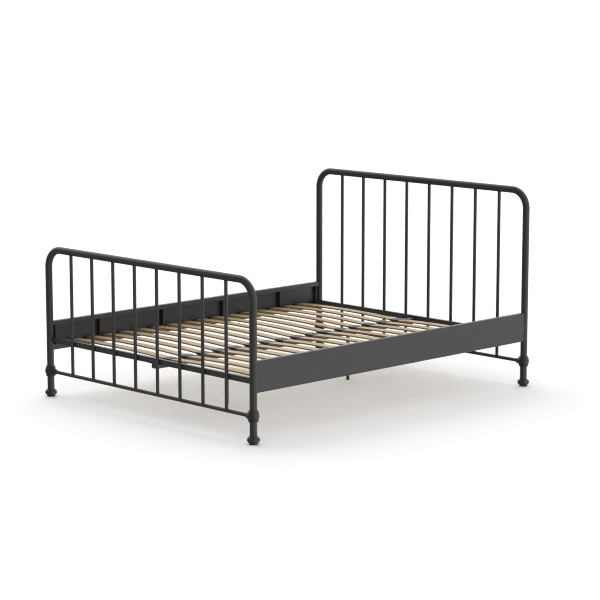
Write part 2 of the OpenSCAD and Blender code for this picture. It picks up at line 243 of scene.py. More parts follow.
def coated_casting():
    """The same coat over sand-cast metal: coarser skin and a faint parting line."""
    s = Shader("coated_casting", 0.5)
    sand = s.noise(420, detail=4, roughness=0.7)
    lumps = s.noise(60, detail=3)
    mottle = s.noise(18, detail=4, roughness=0.6)
    body = s.ramp(mottle, [(0.3, (0.014, 0.014, 0.014)), (0.7, (0.019, 0.019, 0.0185))])
    s.colour(s.mix(s.worn_edges(0.52, 0.60, 0.4), body, WORN_COAT))
    s.roughness(sand, 0.26, 0.44)
    split = s.node("ShaderNodeSeparateXYZ")
    s.link(s.place, split.inputs["Vector"])
    beside = s.math("ABSOLUTE", split.outputs["Y"])
    seam = s.ramp(beside, [(0.0, 1.0), (0.0007, 0.0)])
    s.bumps((sand, 0.35, 0.0004), (lumps, 0.3, 0.0006), (seam, 0.4, 0.0005))
    return s.material


def birch_slat():
    """Lacquered birch: streaks along the slat, fine pores, layer lines on the edges, which are
    also darkened as painted shade.
    """
    s = Shader("birch_slat", 0.45)
    chance = s.node("ShaderNodeObjectInfo").outputs["Random"]
    shift = s.node("ShaderNodeCombineXYZ")
    s.link(s.math("MULTIPLY", chance, 37.0), shift.inputs["X"])
    s.link(s.math("MULTIPLY", chance, 11.0), shift.inputs["Y"])
    along = s.stretched((1.6, 26.0, 26.0), shift.outputs["Vector"])
    fine = s.stretched((9.0, 420.0, 420.0), shift.outputs["Vector"])
    figure = s.noise(1.0, detail=6, roughness=0.55, vector=along, distortion=1.4)
    pores = s.noise(1.0, detail=3, roughness=0.6, vector=fine)
    wood = s.ramp(figure, [
        (0.25, (0.30, 0.192, 0.083)),
        (0.45, (0.39, 0.270, 0.128)),
        (0.62, (0.50, 0.368, 0.198)),
        (0.80, (0.36, 0.242, 0.110)),
    ])
    tone = s.ramp(chance, [(0.0, 0.90), (0.5, 1.0), (1.0, 0.94)])
    toned = s.mix(1.0, wood, tone, "MULTIPLY")
    pored = s.mix(0.35, toned, s.ramp(pores, [(0.35, 0.72), (0.6, 1.0)]), "MULTIPLY")
    s.colour(layered_and_shaded_edges(s, pored))
    s.roughness(pores, 0.36, 0.56)
    s.bumps((pores, 0.25, 0.0002), (figure, 0.1, 0.0004))
    s.set("Specular IOR Level", 0.25)
    s.set("Coat Weight", 0.04)
    s.set("Coat Roughness", 0.3)
    return s.material


def layered_and_shaded_edges(s, face):
    """The face's colour, with glued layers on the edges, by the mesh's ply attribute; the layer
    colours also darken the edges as painted shade.
    """
    depth = s.node("ShaderNodeAttribute", attribute_name="ply").outputs["Fac"]
    wave = s.math("SINE", s.math("MULTIPLY", depth, 2 * math.pi * SLAT_LAYERS))
    # The layer lines are real, but both colours are well below one, so the edges also come out
    # darker overall: painted shade.
    layers = s.ramp(wave, [(0.35, (0.34, 0.27, 0.20)), (0.75, (0.72, 0.68, 0.62))])
    inside = s.ramp(depth, [(0.02, 0.0), (0.05, 1.0), (0.95, 1.0), (0.98, 0.0)])
    return s.mix(inside, face, s.mix(1.0, face, layers, "MULTIPLY"))


def moulded_plastic(name, dark, light, roughness):
    """Injection-moulded plastic: spark-eroded grain, slight flow marks, paler edges."""
    s = Shader(name, roughness)
    grain = s.noise(1500, detail=2)
    flow = s.noise(40, detail=3, roughness=0.5, vector=s.stretched((1.0, 3.0, 1.0)))
    body = s.ramp(flow, [(0.3, dark), (0.7, light)])
    pale = tuple(2.2 * channel for channel in light)
    s.colour(s.mix(s.worn_edges(0.53, 0.62, 0.35), body, pale))
    s.roughness(flow, roughness - 0.06, roughness + 0.08)
    s.bumps((grain, 0.3, 0.0002))
    return s.material


def zinc_steel():
    """Black zinc plating: a dim bluish sheen with fine turning marks and dull patches."""
    s = Shader("zinc_steel", 0.45, metallic=1.0)
    patches = s.noise(220, detail=4, roughness=0.6)
    s.colour(s.ramp(patches, [(0.3, (0.050, 0.052, 0.058)), (0.7, (0.090, 0.090, 0.092))]))
    s.roughness(s.noise(700, detail=3), 0.35, 0.55)
    s.bumps((s.noise(1800, detail=2), 0.2, 0.0001))
    return s.material


SEAT_DARK = (0.022, 0.027, 0.036)
SEAT_LIGHT = (0.034, 0.041, 0.052)
# Near-black plastic of the glides and levelling pads; on the rail ribs the same near-black is
# painted shade.
PAD_AND_RIB_SHADE_DARK = (0.006, 0.006, 0.006)
PAD_AND_RIB_SHADE_LIGHT = (0.011, 0.011, 0.011)
MATERIALS = {
    "powder_coat": powder_coat(),
    "coated_casting": coated_casting(),
    "birch_slat": birch_slat(),
    "seat_plastic": moulded_plastic("seat_plastic", SEAT_DARK, SEAT_LIGHT, 0.42),
    "pad_plastic": moulded_plastic("pad_plastic", PAD_AND_RIB_SHADE_DARK, PAD_AND_RIB_SHADE_LIGHT, 0.5),
    "zinc_steel": zinc_steel(),
}


# ---------------------------------------------------------------- mesh helpers

UPRIGHT = Matrix.Identity(4)
ON_AXIS = 0.001 * MM  # a radius small enough to close a turned shape


def finish_mesh(bm, name, slot, sharp_degrees=35):
    """Turns a bmesh into a shaded mesh with the slot's material."""
    bmesh.ops.recalc_face_normals(bm, faces=bm.faces)
    mesh = bpy.data.meshes.new(name)
    bm.to_mesh(mesh)
    bm.free()
    mesh.shade_smooth()
    mesh.set_sharp_from_angle(angle=math.radians(sharp_degrees))
    mesh.materials.append(MATERIALS[slot])
    return mesh


def place(name, mesh, nodes=(), spot=(0, 0, 0), turn=0.0, body=FRAME_BODY):
    """Adds a piece at spot, turned about Z, riding on a body in place of CAD nodes."""
    piece = bpy.data.objects.new(name, mesh)
    bpy.context.scene.collection.objects.link(piece)
    piece.matrix_world = Matrix.Translation(spot) @ Matrix.Rotation(turn, 4, "Z")
    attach(piece, body)
    if nodes:
        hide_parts(*nodes)


def build(bm, name, slot, nodes=(), spot=(0, 0, 0), body=FRAME_BODY, sharp_degrees=35):
    """Finishes a bmesh that is used once and adds it as a piece."""
    mesh = finish_mesh(bm, name, slot, sharp_degrees)
    place(name, mesh, nodes, spot, body=body)


def full_turn(count):
    """Evenly spaced angles round a circle, in radians."""
    return [2 * math.pi * k / count for k in range(count)]


def as_function(size):
    """A size as a function, whether it is a number or a function already."""
    return size if callable(size) else lambda _: size


def rings_to_faces(bm, rings, closed=False):
    """Joins rings with the same number of points; a row that isn't closed gets end caps."""
    made = [[bm.verts.new(point) for point in ring] for ring in rings]
    pairs = list(zip(made, made[1:]))
    if closed:
        pairs.append((made[-1], made[0]))
    for a, b in pairs:
        for i in range(len(a)):
            j = (i + 1) % len(a)
            bm.faces.new((a[i], a[j], b[j], b[i]))
    if not closed:
        bm.faces.new(reversed(made[0]))
        bm.faces.new(made[-1])
    return made


def sweep(bm, path, radius, sides=28, closed=False):
    """A round bar along a path; radius is a number or a function of the point's index."""
    size = as_function(radius)
    count = len(path)
    rings = []
    side = None
    for i, point in enumerate(path):
        after = path[(i + 1) % count] if closed or i + 1 < count else point
        before = path[i - 1] if closed or i else point
        ahead = (after - before).normalized()
        if side is None:
            side = ahead.orthogonal().normalized()
        side = (side - ahead * side.dot(ahead)).normalized()
        up = ahead.cross(side)
        rings.append([
            point + size(i) * (side * math.cos(t) + up * math.sin(t)) for t in full_turn(sides)
        ])
    rings_to_faces(bm, rings, closed)


def turned(bm, profile, sides=64, axis=UPRIGHT):
    """A turned shape: profile is (radius, height) up the axis; a radius may vary with angle."""
    rings = []
    for radius, z in profile:
        size = as_function(radius)
        rings.append([
            axis @ Vector((size(t) * math.cos(t), size(t) * math.sin(t), z))
            for t in full_turn(sides)
        ])
    rings_to_faces(bm, rings)


def hexagon(across_flats, limit=1.0):
    """Radius of a hexagon at an angle, cut back to a circle of radius limit."""
    sixth = math.pi / 3
    return lambda t: min(limit, across_flats / 2 / math.cos(t % sixth - sixth / 2))


def arc(centre, radius, start, end, steps):
    """Points on a circle in the plane, angles in degrees."""
    spread = [math.radians(start + (end - start) * k / steps) for k in range(steps + 1)]
    return [(centre[0] + radius * math.cos(t), centre[1] + radius * math.sin(t)) for t in spread]


def soft_box(bm, corner, opposite, radius, segments=3):
    """A block between two opposite corners, with rounded edges."""
    lowest = Vector(map(min, corner, opposite))
    highest = Vector(map(max, corner, opposite))
    middle = (lowest + highest) / 2
    size = highest - lowest
    matrix = Matrix.Translation(middle) @ Matrix.Diagonal((*size, 1))
    made = bmesh.ops.create_cube(bm, size=1.0, matrix=matrix)
    edges = list({e for v in made["verts"] for e in v.link_edges})
    bmesh.ops.bevel(
        bm, geom=edges, offset=radius, segments=segments, affect="EDGES", profile=0.5)


def rounded_rectangle(width, height, radius, steps=6):
    """Outline of a rectangle with round corners, centred on zero."""
    corners = ((1, 1, 0), (-1, 1, 90), (-1, -1, 180), (1, -1, 270))
    outline = []
    for sx, sy, start in corners:
        centre = (sx * (width / 2 - radius), sy * (height / 2 - radius))
        outline += arc(centre, radius, start, start + 90, steps)
    return outline


def bent_line(corners, bend, steps=5):
    """A line through the corner points, rounded at each corner between its ends."""
    points = [Vector(c) for c in corners]
    line = [points[0]]
    for before, corner, after in zip(points, points[1:], points[2:]):
        a = corner + (before - corner).normalized() * bend
        b = corner + (after - corner).normalized() * bend
        for k in range(steps + 1):
            t = k / steps
            line.append(a * (1 - t) ** 2 + corner * 2 * t * (1 - t) + b * t ** 2)
    line.append(points[-1])
    return line


def folded_strip(corners, thickness, bend):
    """Outline of a sheet folded along the corner points, with round bends."""
    line = bent_line(corners, bend)
    left = []
    right = []
    for i, point in enumerate(line):
        along = (line[min(i + 1, len(line) - 1)] - line[max(i - 1, 0)]).normalized()
        normal = Vector((-along.y, along.x))
        left.append(point + normal * thickness / 2)
        right.append(point - normal * thickness / 2)
    return [tuple(p) for p in left + right[::-1]]


def extrude(bm, outline, start, end, put):
    """Extrudes a flat outline from start to end; put(a, b, along) gives each 3-D point."""
    rings = [[Vector(put(a, b, along)) for a, b in outline] for along in (start, end)]
    rings_to_faces(bm, rings)


# ---------------------------------------------------------------- welds

top_bead_r = 1.5 * MM
low_bead_r = 1.3 * MM
plate_bead_r = 1.4 * MM
bead_lift = 0.2 * MM
WELD_SHARP = 80


def bead(bm, path, radius, closed=True):
    """A weld bead: a thin bar along a path, with ripples."""
    def ripple(i):
        return radius * (1 + 0.22 * math.sin(i * 1.9))
    sweep(bm, path, ripple, sides=8, closed=closed)


def saddle(x, r_small, r_large, axis_z, above):
    """Curve where an upright bar meets a level tube along X."""
    sign = 1 if above else -1
    return [Vector((
        x + r_small * math.cos(t),
        r_small * math.sin(t),
        axis_z + sign * math.sqrt(r_large ** 2 - (r_small * math.sin(t)) ** 2),
    )) for t in full_turn(40)]


# ---------------------------------------------------------------- boards

def bow_path(top_z):
    """Axis of a board's bent tube in the XZ plane, from one post foot to the other."""
    centre = (post_x - bend_r, top_z - bend_r)
    bend = [Vector((x, 0, z)) for x, z in arc(centre, bend_r, 0, 90, 20)]
    half = [Vector((post_x, 0, post_bottom))] + bend
    return half + [Vector((-p.x, p.y, p.z)) for p in reversed(half)]


def board(end, side, top):
    """One board: bow, spindles, bottom rail and their welds."""
    spot = (0, side * post_y, 0)
    top_z = top - tube_r
    bow = end + "board_bow"
    bm = bmesh.new()
    sweep(bm, bow_path(top_z), tube_r, 48)
    build(bm, bow + "_tube", "powder_coat", [bow], spot)

    board_spindles(end, side, top_z)

    bottom_rail = end + "board_bottom_rail"
    ends = [Vector((s * (post_x - tube_r), 0, bottom_rail_z)) for s in (-1, 1)]
    bm = bmesh.new()
    sweep(bm, ends, bottom_rail_r)
    build(bm, bottom_rail + "_bar", "powder_coat", [bottom_rail], spot)

    board_welds(end, spot, top_z)


def board_spindles(end, side, top_z):
    """Equal uprights from the bottom rail to the top tube."""
    node = end + "board_spindles"
    bm = bmesh.new()
    sweep(bm, [Vector((0, 0, bottom_rail_z)), Vector((0, 0, top_z))], spindle_r)
    upright = finish_mesh(bm, node, "powder_coat")
    for i in range(spindle_count):
        name = "%sboard_spindle_%d" % (end, i + 1)
        spot = (spindle_x(i), side * post_y, 0)
        place(name, upright, [node], spot)


def board_welds(end, spot, top_z):
    """A bead round both ends of every spindle."""
    bm = bmesh.new()
    for i in range(spindle_count):
        x = spindle_x(i)
        upper = saddle(x, spindle_r, tube_r, top_z, False)
        lower = saddle(x, spindle_r, bottom_rail_r + bead_lift, bottom_rail_z, True)
        bead(bm, upper, top_bead_r)
        bead(bm, lower, low_bead_r)
    name = end + "board_weld_beads"
    build(bm, name, "powder_coat", (), spot, sharp_degrees=WELD_SHARP)


def cross_rail(end):
    """Rectangular tube with rounded corners behind the spindles."""
    node = end + "_cross_rail"
    lo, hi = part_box(node)
    outline = rounded_rectangle(hi.y - lo.y, hi.z - lo.z, tube_corner_r)
    middle = (lo + hi) / 2
    bm = bmesh.new()
    extrude(bm, outline, lo.x, hi.x, lambda a, b, x: (x, middle.y + a, middle.z + b))
    build(bm, node + "_tube", "powder_coat", [node])


# ---------------------------------------------------------------- castings

ring_r = 26.3 * MM
lower_ring_h = 15 * MM
upper_ring_h = 9.5 * MM
swell_r = 30.5 * MM
swell_curve_r = 43.3 * MM
swell_z = bottom_rail_z + 2 * MM
swell_steps = 12

cone_start = 20 * MM
cone_start_r = 24.5 * MM
cone_neck_r = 12.4 * MM
cone_neck = 6 * MM
cone_lip = 1.5 * MM
cone_tip_r = 11 * MM
casting_voxel = 0.7 * MM

ball_edge_r = 16.4 * MM
ball_z = 22.5 * MM
ball_flat_r = 20 * MM
ball_rim_r = 23 * MM
ball_rim_z = 0.8 * MM
collar_r = 20.6 * MM
collar_flare = 0.6 * MM
collar_flare_z = 37.8 * MM
collar_start_z = 39.5 * MM
collar_top = 43 * MM
collar_ease = 0.5 * MM


def barrel_profile(bottom, top):
    """A ring at each end and a swell between them."""
    lower_r = lower_ring_h / 2
    upper_r = upper_ring_h / 2
    start = bottom + lower_ring_h
    end = top - upper_ring_h
    profile = [(tube_r, bottom)]
    profile += arc((ring_r - lower_r, bottom + lower_r), lower_r, -90, 80, 14)
    for k in range(swell_steps + 1):
        z = start + (end - start) * k / swell_steps
        drop = math.sqrt(swell_curve_r ** 2 - (z - swell_z) ** 2)
        profile.append((swell_r - swell_curve_r + drop, z))
    profile += arc((ring_r - upper_r, top - upper_r), upper_r, -80, 90, 12)
    profile.append((tube_r, top))
    return profile


def knuckle_mesh():
    """Barrel with two rings and a cone along -X, blended like a casting."""
    lo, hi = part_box("knuckle_head_right")
    reach = post_x - lo.x
    cone = [
        (cone_start_r, cone_start),
        (cone_neck_r, reach - cone_neck),
        (cone_neck_r, reach - cone_lip),
        (cone_tip_r, reach),
    ]
    cone_axis = Matrix.Translation((0, 0, bottom_rail_z)) @ Matrix.Rotation(-math.pi / 2, 4, "Y")
    bm = bmesh.new()
    turned(bm, barrel_profile(lo.z, hi.z), 72)
    turned(bm, cone, 48, cone_axis)
    return blended(finish_mesh(bm, "knuckle", "coated_casting", sharp_degrees=50))


def blended(mesh):
    """Fuses a mesh's overlapping shells and softens where they meet."""
    mould = bpy.data.objects.new("mould", mesh)
    bpy.context.scene.collection.objects.link(mould)
    fuse = mould.modifiers.new("fuse", "REMESH")
    fuse.mode = "VOXEL"
    fuse.voxel_size = casting_voxel
    soften = mould.modifiers.new("soften", "SMOOTH")
    soften.factor = 0.5
    soften.iterations = 1
    bpy.context.view_layer.update()
    graph = bpy.context.evaluated_depsgraph_get()
    result = bpy.data.meshes.new_from_object(mould.evaluated_get(graph))
    bpy.data.objects.remove(mould)
    result.shade_smooth()
    return result


def foot_mesh():
    """Ball foot: base, round-edged ball and a collar round the tube."""
    lo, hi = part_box("foot_head_right")
    ball_r = (hi.x - lo.x) / 2
    profile = [(ON_AXIS, lo.z), (ball_flat_r, lo.z), (ball_rim_r, lo.z + ball_rim_z)]
    profile += arc((ball_r - ball_edge_r, ball_z), ball_edge_r, -58, 68, 26)
    profile += [
        (collar_r + collar_flare, collar_flare_z),
        (collar_r, collar_start_z),
        (collar_r, collar_top - 1 * MM),
        (collar_r - collar_ease, collar_top),
        (tube_r, collar_top),
    ]
    bm = bmesh.new()
    turned(bm, profile, 72)
    return finish_mesh(bm, "ball_foot", "coated_casting", sharp_degrees=40)


def glide_mesh():
    """Round plastic glide with a softened rim."""
    r = high("foot_glides").x - post_x
    h = high("foot_glides").z
    rim = 1.5 * MM
    ease = 0.6 * MM
    profile = [(ON_AXIS, 0), (r - 2 * MM, 0)]
    profile += arc((r - rim, rim), rim, -90, 0, 4)
    profile += [(r, h - ease), (r - ease, h), (ON_AXIS, h)]
    bm = bmesh.new()
    turned(bm, profile)
    return finish_mesh(bm, "glide", "pad_plastic")


def castings():
    """Knuckle, foot and glide at each of the four posts."""
    knuckle = knuckle_mesh()
    foot = foot_mesh()
    glide = glide_mesh()
    for end, sy in ENDS:
        for hand, sx in HANDS:
            tag = "%s_%s" % (end, hand)
            spot = (sx * post_x, sy * post_y, 0)
            turn = 0 if sx > 0 else math.pi
            knuckle_node = ["knuckle_" + tag]
            place("knuckle_casting_" + tag, knuckle, knuckle_node, spot, turn)
            place("ball_foot_" + tag, foot, ["foot_" + tag], spot, turn)
            place("glide_" + tag, glide, ["foot_glides"], spot)


# ---------------------------------------------------------------- side rails

rail_bend = 3 * MM
rib_bend = 2.2 * MM
end_gap = 0.3 * MM
post_bury = 2 * MM
weld_steps = 60


def rail_outline():
    """Folded C outline of the right rail: (x, z) pairs, open towards the bed."""
    half = rail_t / 2
    inner = rail_low.x + half
    outer = rail_high.x - half
    bottom = rail_low.z + half
    top = rail_high.z - half
    corners = [
        (inner, seat_z), (inner, bottom), (outer, bottom),
        (outer, top), (inner, top), (inner, rail_high.z - top_lip_h),
    ]
    return folded_strip(corners, rail_t, rail_bend)


def side_rail(hand, sx):
    """Folded rail and the plates in its ends."""
    node = "side_rail_" + hand
    bm = bmesh.new()
    extrude(bm, rail_outline(), rail_low.y, rail_high.y, lambda a, b, y: (sx * a, y, b))
    build(bm, node + "_sheet", "powder_coat", [node])
    for end, sy in ENDS:
        inner = (sx * lip_x, sy * (rail_high.y - plate_t), rail_low.z + rail_t)
        outer = (sx * web_x, sy * rail_high.y, rail_high.z - rail_t)
        bm = bmesh.new()
        soft_box(bm, inner, outer, 0.6 * MM)
        build(bm, "rail_end_plate_%s_%s" % (end, hand), "powder_coat", [node])


def rail_ribs(hand, sx):
    """Upright channel spacers between the lips, in near-black plastic that stands in for the
    shade on them: painted shade.
    """
    node = "rail_ribs_" + hand
    lo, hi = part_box(node)
    half = rail_t / 2
    face = min(abs(lo.x), abs(hi.x)) + half
    side = rib_w / 2 - half
    corners = [(web_x, side), (face, side), (face, -side), (web_x, -side)]
    outline = folded_strip(corners, rail_t, rib_bend)
    bm = bmesh.new()
    extrude(bm, outline, lo.z, hi.z, lambda a, b, z: (sx * a, b, z))
    # The near-black plastic on the ribs is painted shade: it stands in for the shadow on their
    # sides.
    mesh = finish_mesh(bm, node, "pad_plastic")
    for number, k in enumerate(rib_rows):
        name = "rail_rib_%s_%d" % (hand, number + 1)
        place(name, mesh, [node], (0, k * row_pitch, 0))


def bracket(end, sy, hand, sx):
    """Open bracket between a rail's end and its post."""
    tag = "%s_%s" % (end, hand)
    node = "bracket_" + tag
    lo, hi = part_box(node)
    joint_y = min(abs(lo.y), abs(hi.y))
    start = joint_y + end_gap
    touch_y = post_y - math.sqrt(tube_r ** 2 - rail_half_depth ** 2)
    inner = (sx * lip_x, sy * start, lo.z + rail_t)
    outer = (sx * web_x, sy * (joint_y + plate_t), hi.z - rail_t)
    bm = bmesh.new()
    extrude(bm, rail_outline(), start, touch_y + post_bury, lambda a, b, y: (sx * a, sy * y, b))
    soft_box(bm, inner, outer, 0.5 * MM)
    build(bm, "rail_bracket_" + tag, "powder_coat", [node])

    bm = bmesh.new()
    for side in (-1, 1):
        x = sx * (post_x + side * rail_half_depth)
        bead(bm, bracket_edge(x, sy * touch_y, lo.z, hi.z, side), plate_bead_r, False)
    build(bm, "bracket_weld_" + tag, "powder_coat", sharp_degrees=WELD_SHARP)


def bracket_edge(x, y, bottom, top, side):
    """Line up a bracket's edge: all of the outer one, the seat lip's height on the inner."""
    height = top - bottom
    line = [Vector((x, y, bottom + height * k / weld_steps)) for k in range(weld_steps + 1)]
    if side > 0:
        return line
    share = seat_lip_h / height
    return [point for k, point in enumerate(line) if k / weld_steps < share]


# ---------------------------------------------------------------- fasteners

SocketScrew = namedtuple("SocketScrew", "head_r head_h key shank_r length")
SUPPORT_SCREW = SocketScrew(5.5 * MM, 3.5 * MM, 4 * MM, 3 * MM, 4 * MM)
screw_x = 12 * MM
hanger_screw_drop = 7 * MM
leg_screw_inset = 10 * MM
BUTTON_DOME = ((0.72, 1.0), (0.9, 0.86), (1.0, 0.45))  # shares of a head's radius and height
bolt_head_r = 7 * MM
nut_flats = 13 * MM
nut_round_r = 6.7 * MM
nut_hole_r = 4 * MM
chamfer = 0.8 * MM


def socket_screw(bm, axis, screw):
    """Button head with a hexagon socket; the shank runs up the axis from zero."""
    socket = hexagon(screw.key)
    dome = [(screw.head_r * r, -screw.head_h * h) for r, h in BUTTON_DOME]
    shoulder_z = dome[-1][1]
    profile = [(ON_AXIS, shoulder_z), (socket, shoulder_z), (socket, -screw.head_h)]
    profile += dome
    profile += [
        (screw.head_r, 0),
        (screw.shank_r, 0),
        (screw.shank_r, screw.length - chamfer),
        (screw.shank_r - chamfer, screw.length),
        (ON_AXIS, screw.length),
    ]
    turned(bm, profile, 48, axis)


def hexagon_nut(bm, axis, height):
    """Nut that stands on the axis's zero, with both faces chamfered."""
    flats = hexagon(nut_flats)
    chamfered = hexagon(nut_flats, nut_round_r)
    turned(bm, [
        (nut_hole_r, 0),
        (chamfered, 0),
        (flats, chamfer),
        (flats, height - chamfer),
        (chamfered, height),
        (nut_hole_r, height),
    ], 48, axis)


def along_y(x, y, z, sy):
    """Axis matrix for a fastener that points along Y, on the side that sy names."""
    return Matrix.Translation((x, sy * y, z)) @ Matrix.Rotation(-sy * math.pi / 2, 4, "X")


def rail_fasteners():
    """Two bolts and two nuts at each rail end."""
    bolts_lo, bolts_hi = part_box("rail_bolts")
    heights = (bolts_lo.z + bolt_head_r, bolts_hi.z - bolt_head_r)
    bolt_y = rail_high.y - plate_t
    nut_y = rail_high.y + plate_t
    nut_h = high("rail_nuts").y - nut_y
    bolt = SocketScrew(bolt_head_r, 5 * MM, 6 * MM, 4 * MM, bolts_hi.y - bolt_y)
    for end, sy in ENDS:
        for hand, sx in HANDS:
            for level, z in enumerate(heights):
                tag = "%s_%s_%d" % (end, hand, level + 1)
                bm = bmesh.new()
                socket_screw(bm, along_y(sx * post_x, bolt_y, z, sy), bolt)
                build(bm, "rail_bolt_" + tag, "zinc_steel", ["rail_bolts"])
                bm = bmesh.new()
                hexagon_nut(bm, along_y(sx * post_x, nut_y, z, sy), nut_h)
                build(bm, "rail_nut_" + tag, "zinc_steel", ["rail_nuts"])


def support_screws():
    """Screws of the beam hangers and of the centre leg plates."""
    for end, sy in ENDS:
        lo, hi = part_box(end + "_cross_rail")
        hanger_y = min(abs(lo.y), abs(hi.y)) - plate_t
        hanger_z = hi.z - hanger_screw_drop
        leg_lo, leg_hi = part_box("centre_leg_" + end)
        for k, x in enumerate((-screw_x, screw_x)):
            under_plate = (x, leg_lo.y + leg_screw_inset, leg_hi.z - plate_t)
            axes = {
                "hanger_screw": along_y(x, hanger_y, hanger_z, sy),
                "leg_screw": Matrix.Translation(under_plate),
            }
            for kind, axis in axes.items():
                name = "%s_%s_%d" % (kind, end, k + 1)
                bm = bmesh.new()
                socket_screw(bm, axis, SUPPORT_SCREW)
                build(bm, name, "zinc_steel", ["support_screws"])


# ---------------------------------------------------------------- centre support

plug_rim = 0.5 * MM
hanger_bend = 4 * MM
insert_hole_r = 4.3 * MM
insert_lip = 4 * MM
stud_r = 4 * MM
thread_pitch = 1.25 * MM
thread_depth = 0.7 * MM
thread_fade = 0.4 * MM
rings_per_pitch = 8
pad_side_h = 6 * MM
pad_top_r = 7.8 * MM
pad_ease_r = 8.4 * MM


def centre_beam():
    """Beam tube, its end plugs and its folded hangers."""
    outline = rounded_rectangle(
        beam_high.x - beam_low.x, beam_high.z - beam_low.z, tube_corner_r)
    middle_z = (beam_low.z + beam_high.z) / 2
    bm = bmesh.new()
    extrude(bm, outline, beam_low.y, beam_high.y, lambda a, b, y: (a, y, middle_z + b))
    build(bm, "centre_beam_tube", "powder_coat", ["centre_beam"])
    for end, sy in ENDS:
        inner = (beam_low.x + plug_rim, sy * beam_high.y, beam_low.z + plug_rim)
        outer = (beam_high.x - plug_rim, sy * high("beam_plugs").y, beam_high.z - plug_rim)
        bm = bmesh.new()
        soft_box(bm, inner, outer, 1.2 * MM)
        build(bm, "beam_plug_" + end, "seat_plastic", ["beam_plugs"])
        hanger(end, sy)


def hanger(end, sy):
    """Folded plate between the beam and a cross rail."""
    node = "beam_hanger_" + end
    lo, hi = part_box(node)
    face = max(abs(lo.y), abs(hi.y)) - plate_t / 2
    tip = min(abs(lo.y), abs(hi.y))
    level = beam_high.z + plate_t / 2
    outline = folded_strip([(tip, level), (face, level), (face, hi.z)], plate_t, hanger_bend)
    bm = bmesh.new()
    extrude(bm, outline, lo.x, hi.x, lambda a, b, x: (x, sy * a, b))
    build(bm, node + "_plate", "powder_coat", [node])


def thread_profile(start, end):
    """Rings of a helical thread with flat, slightly chamfered ends."""
    def cut(z):
        fade = min(1.0, (z - start) / thread_pitch, (end - z) / thread_pitch)

        def size(t):
            phase = (z / thread_pitch - t / (2 * math.pi)) % 1.0
            groove = thread_depth * abs(2 * phase - 1)
            return stud_r - groove - thread_fade * (1 - max(fade, 0.0))
        return size

    steps = int((end - start) / thread_pitch * rings_per_pitch)
    heights = [start + (end - start) * k / steps for k in range(steps + 1)]
    return [(ON_AXIS, start)] + [(cut(z), z) for z in heights] + [(ON_AXIS, end)]


def centre_leg(end):
    """Leg tube with its plate and weld, its threaded insert and its levelling foot."""
    node = "centre_leg_" + end
    lo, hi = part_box(node)
    leg_y = (low("level_pad_" + end).y + high("level_pad_" + end).y) / 2
    plate_z = hi.z - plate_t
    bm = bmesh.new()
    sweep(bm, [Vector((0, leg_y, lo.z)), Vector((0, leg_y, plate_z))], leg_r, 40)
    soft_box(bm, (lo.x, lo.y, plate_z), (hi.x, hi.y, hi.z), 1.2 * MM)
    ring = [
        Vector((leg_r * math.cos(t), leg_y + leg_r * math.sin(t), plate_z))
        for t in full_turn(40)
    ]
    bead(bm, ring, plate_bead_r)
    build(bm, node + "_tube", "powder_coat", [node])
    leg_insert(end, leg_y, lo.z)
    level_foot(end, leg_y)


def leg_insert(end, leg_y, tube_end):
    """Plastic insert whose flange closes the leg's lower end."""
    bottom = low("leg_inserts").z
    bm = bmesh.new()
    turned(bm, [
        (insert_hole_r, bottom + insert_lip),
        (insert_hole_r, bottom),
        (leg_r - 1 * MM, bottom),
        (leg_r, bottom + chamfer),
        (leg_r, tube_end),
        (leg_r - 2 * MM, tube_end),
    ], 48)
    build(bm, "leg_insert_" + end, "seat_plastic", ["leg_inserts"], (0, leg_y, 0))


def level_foot(end, leg_y):
    """Threaded stud and its pad, which ride on the levelling foot's own body."""
    body = "level_foot_" + end
    stud = "level_stud_" + end
    pad = "level_pad_" + end
    spot = (0, leg_y, 0)
    bm = bmesh.new()
    turned(bm, thread_profile(low(stud).z, high(stud).z), 24)
    build(bm, stud + "_thread", "zinc_steel", [stud], spot, body, sharp_degrees=60)

    r = (high(pad).x - low(pad).x) / 2
    h = high(pad).z
    rim = 1.2 * MM
    crown = 1.5 * MM
    profile = [(ON_AXIS, 0), (r - crown, 0)]
    profile += arc((r - rim, rim), rim, -90, 0, 4)
    profile.append((r, pad_side_h))
    profile += arc((r - crown, pad_side_h), crown, 0, 60, 4)
    profile += [(pad_ease_r, h - 0.5 * MM), (pad_top_r, h), (stud_r, h)]
    bm = bmesh.new()
    turned(bm, profile, 56)
    build(bm, pad + "_disc", "pad_plastic", [pad], spot, body)


# ---------------------------------------------------------------- slats and their seats

slat_edge_r = 1.6 * MM
slat_steps = 36
slat_end_z = slat_high.z - slat_crown

holder_half_w = 45 * MM
holder_reach = 32 * MM
holder_base_t = 4.5 * MM
ear_w = 14 * MM
stop_w = 4 * MM
stop_t = 2 * MM
stop_offsets = (5 * MM, 9.5 * MM)
strap_half = slat_w / 2 + 4 * MM
strap_reach = 19 * MM
strap_t = 3.2 * MM
strap_bend = 4 * MM
back_t = 4 * MM
clip_t = 2.5 * MM
clip_half_w = 20 * MM
clip_drop = 12 * MM

cap_half_y = slat_w / 2 + 5 * MM
cap_recess = 0.8 * MM
cap_rim_w = 6 * MM
cap_rib_half = 5 * MM
cap_clip_inner = 20 * MM
cap_clip_outer = 23 * MM
cap_clip_half_w = 14 * MM
cap_bar_half_l = 22 * MM
cap_bar_half_w = 1.5 * MM
cap_bar_ys = (-12 * MM, 0, 12 * MM)


